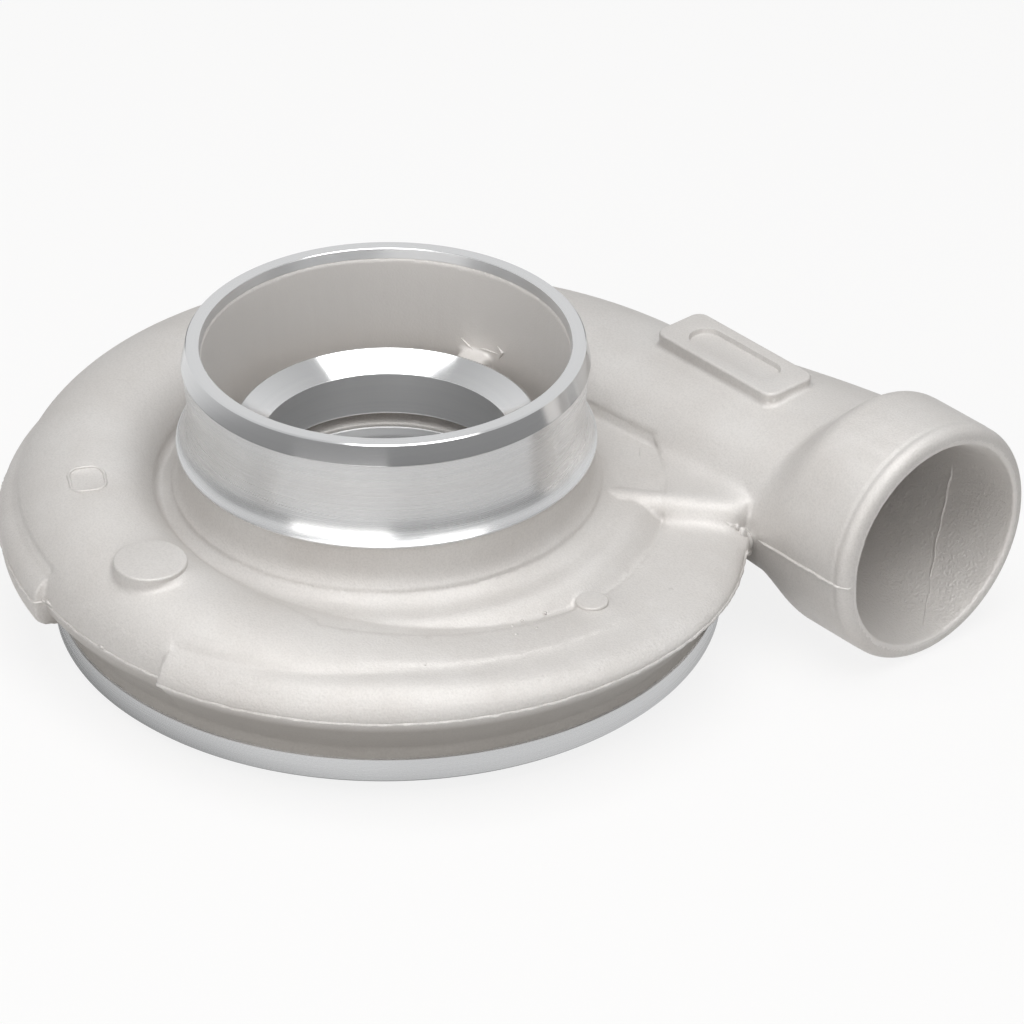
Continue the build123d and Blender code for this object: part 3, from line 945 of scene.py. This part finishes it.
def turned_material():
    """Bright turned aluminium: fine tool marks that run round the wheel axis."""
    made = bpy.data.materials.new("turned_aluminium")
    t = Tree(made)
    x, y, z = t.parts(t.node("ShaderNodeNewGeometry").outputs["Position"])
    across = t.length(x, y)
    lathe = t.node("ShaderNodeCombineXYZ")
    t.link(across, lathe.inputs["X"])
    t.link(z, lathe.inputs["Y"])
    marks = t.noise(lathe.outputs["Vector"], MARK_SCALE, 2.0, 0.5)
    wide = t.noise(lathe.outputs["Vector"], WIDE_MARK_SCALE, 2.0)
    shader = principled(t, 1.0, 0.25)
    t.link(t.ramp(wide, 0.25, 0.75, TURNED_DARK, TURNED_LIGHT), shader.inputs["Base Color"])

    # Rougher on the neck, in the inducer bore, on the lead-in and on the shroud
    neck = t.times(t.above(across, NECK_REACH), t.below(z, (BEAD_TOP - 0.2) * MM))
    bore = t.times(t.below(across, INDUCER_REACH), t.below(z, INDUCER_TOP))
    lead = t.times(t.below(across, LEAD_IN_REACH), t.above(z, LEAD_IN_FOOT))
    deep = t.times(t.below(across, DEEP_REACH), t.below(z, DEEP_TOP), t.above(z, DEEP_FOOT))
    inside = t.times(t.math("ADD", bore, lead), BORE_ROUGHNESS)
    outside = t.times(neck, NECK_ROUGHNESS)
    broad = t.math("ADD", t.math("ADD", outside, inside), t.times(deep, SHROUD_ROUGHNESS))
    streak = t.math("ADD", t.times(marks, STREAK_ROUGHNESS), TURNED_ROUGHNESS)
    t.link(t.math("ADD", streak, broad), shader.inputs["Roughness"])
    shader.inputs["Anisotropic"].default_value = 0.85
    shader.inputs["Anisotropic Rotation"].default_value = 0.25
    tangent = t.node("ShaderNodeTangent", direction_type="RADIAL", axis="Z")
    t.link(tangent.outputs["Tangent"], shader.inputs["Tangent"])
    t.link(t.bump(marks, *MARK_BUMP), shader.inputs["Normal"])
    return made


def floor_material():
    """Pale floor that looks white to the camera and keeps the shadow; in reflections it glows, dimmed under
    the part as a painted shadow and further out as a painted fall-off of light.
    """
    made = bpy.data.materials.new("pale_floor")
    t = Tree(made)
    path = t.node("ShaderNodeLightPath")
    diffuse = t.node("ShaderNodeBsdfDiffuse")
    diffuse.inputs["Color"].default_value = FLOOR_TONE
    glow = t.node("ShaderNodeEmission")
    away = t.node("ShaderNodeVectorMath", operation="LENGTH")
    t.link(t.node("ShaderNodeNewGeometry").outputs["Position"], away.inputs[0])
    # In reflections the floor's glow is dimmed under the part as a painted shadow, and falls off further
    # out as a painted pool of light
    clear = t.fade(away.outputs["Value"], *FLOOR_PAINTED_SHADOW)
    front = t.fade(away.outputs["Value"], *FLOOR_PAINTED_FALLOFF)
    mirrored = t.math("MAXIMUM", path.outputs["Is Glossy Ray"], path.outputs["Is Transmission Ray"])
    camera = path.outputs["Is Camera Ray"]
    t.link(t.math("ADD", camera, t.times(mirrored, clear, front)), glow.inputs["Strength"])
    mix = t.node("ShaderNodeMixShader")
    t.link(t.math("ADD", t.times(camera, FLOOR_WHITE), mirrored), mix.inputs["Fac"])
    t.link(diffuse.outputs["BSDF"], mix.inputs[1])
    t.link(glow.outputs["Emission"], mix.inputs[2])
    output = t.node("ShaderNodeOutputMaterial")
    t.link(mix.outputs["Shader"], output.inputs["Surface"])
    return made


def dress(piece, made):
    """Gives a piece its material and ties it to the one body."""
    piece.data.materials.clear()
    piece.data.materials.append(made)
    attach(piece, "root")


def area_lamp(name, place, target, size, power, colour=(1, 1, 1)):
    data = bpy.data.lights.new(name, "AREA")
    data.shape = "RECTANGLE"
    data.size, data.size_y = size
    data.energy = power
    data.color = colour
    lamp = bpy.data.objects.new(name, data)
    lamp.location = place
    lamp.rotation_euler = (Vector(target) - Vector(place)).to_track_quat("-Z", "Y").to_euler()
    bpy.context.scene.collection.objects.link(lamp)


def make_room():
    """World: an even room for the light, a shaded studio in reflections, and plain white to the camera."""
    world = bpy.data.worlds.new("studio")
    bpy.context.scene.world = world
    t = Tree(world)
    path = t.node("ShaderNodeLightPath")
    seen = t.node("ShaderNodeTexCoord").outputs["Generated"]
    _, _, height = t.parts(seen)
    ceiling = t.fade(height, *CEILING)
    front = t.fade(t.vector("DOT_PRODUCT", seen, VIEW_SIDE), *DARK_FRONT)
    low = t.fade(height, *DARK_HEIGHT, 1.0, 0.0)
    dark = t.math("SUBTRACT", 1.0, t.times(DARK_SHARE, front, low))
    room, studio, white = [t.node("ShaderNodeBackground") for _ in range(3)]
    for each in (room, studio, white):
        each.inputs["Color"].default_value = WHITE
    room.inputs["Strength"].default_value = ROOM_LEVEL
    white.inputs["Strength"].default_value = 1.0
    t.link(t.times(ceiling, dark), studio.inputs["Strength"])
    glossy = t.node("ShaderNodeMixShader")
    camera = t.node("ShaderNodeMixShader")
    output = t.node("ShaderNodeOutputWorld")
    t.link(path.outputs["Is Glossy Ray"], glossy.inputs["Fac"])
    t.link(room.outputs["Background"], glossy.inputs[1])
    t.link(studio.outputs["Background"], glossy.inputs[2])
    t.link(path.outputs["Is Camera Ray"], camera.inputs["Fac"])
    t.link(glossy.outputs["Shader"], camera.inputs[1])
    t.link(white.outputs["Background"], camera.inputs[2])
    t.link(camera.outputs["Shader"], output.inputs["Surface"])


def make_lamps():
    """Two softboxes on the camera's side and one large lamp overhead."""
    for name, turn, size, far, level, power, colour in SOFTBOXES:
        a = math.radians(CAMERA_AZIMUTH + turn)
        area_lamp(name, (far * math.sin(a), -far * math.cos(a), level), SOFTBOX_TARGET, size, power, colour)
    area_lamp("overhead", OVERHEAD_PLACE, OVERHEAD_TARGET, OVERHEAD_SIZE, OVERHEAD_POWER)


def make_floor():
    """The part rests on the far edge of its flange and on the low side of the outlet collar."""
    lowest = PARTING - MOUTH_RADIUS
    collar_x = MOUTH_X - 15.0
    slope = lowest / (math.hypot(collar_x, PIPE_Y) + FLANGE_RADIUS)
    direction = Vector((collar_x, PIPE_Y, 0.0)).normalized()
    build = bmesh.new()
    corners = []
    for sx, sy in ((-1, -1), (1, -1), (1, 1), (-1, 1)):
        point = Vector((sx * FLOOR_HALF_SIDE, sy * FLOOR_HALF_SIDE, 0.0))
        along = point.dot(direction) / MM
        height = slope * (along + FLANGE_RADIUS) - FLOOR_GAP
        corners.append(build.verts.new((point.x, point.y, height * MM)))
    build.faces.new(corners)
    floor = finished(build, "floor")
    floor.data.materials.append(floor_material())


def make_camera():
    azimuth = math.radians(CAMERA_AZIMUTH)
    elevation = math.radians(CAMERA_ELEVATION)
    back = Vector((math.sin(azimuth) * math.cos(elevation), -math.cos(azimuth) * math.cos(elevation),
                   math.sin(elevation)))
    right = Vector((math.cos(azimuth), math.sin(azimuth), 0.0))
    up = back.cross(right)
    turn = Matrix((right, up, back)).transposed()
    data = bpy.data.cameras.new("camera")
    data.lens = CAMERA_LENS
    data.sensor_width = CAMERA_SENSOR
    data.clip_end = CAMERA_FAR
    camera = bpy.data.objects.new("camera", data)
    camera.matrix_world = (Matrix.Translation(Vector(CAMERA_PLACE) * MM) @ turn.to_4x4()
                           @ Matrix.Rotation(math.radians(CAMERA_ROLL), 4, "Z"))
    bpy.context.scene.collection.objects.link(camera)
    bpy.context.scene.camera = camera


make_camera()
cast = cast_material()
turned = turned_material()

# Cast skin in place of the CAD mesh, with the mould's flash and the raised marks on it
skin = remeshed_skin()
soften(skin.data)
thinned(skin, SKIN_FACES)
smooth_shaded(skin.data)
dress(skin, cast)
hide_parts(NODE)
flash = mould_flash(skin.data)
smooth_shaded(flash.data)
dress(flash, cast)
marks = raised_marks()
sharp_shaded(marks.data, 25.0)
dress(marks, cast)

# Turned pieces over the sunk faces of the skin
cad_tree = tree_of(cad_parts[NODE].data)
for piece in (spigot(cad_tree), inducer_ring(), flange(), shroud(cad_tree)):
    sharp_shaded(piece.data, 20.0)
    dress(piece, turned)

make_floor()
make_room()
make_lamps()
bpy.context.scene.view_settings.view_transform = "Standard"
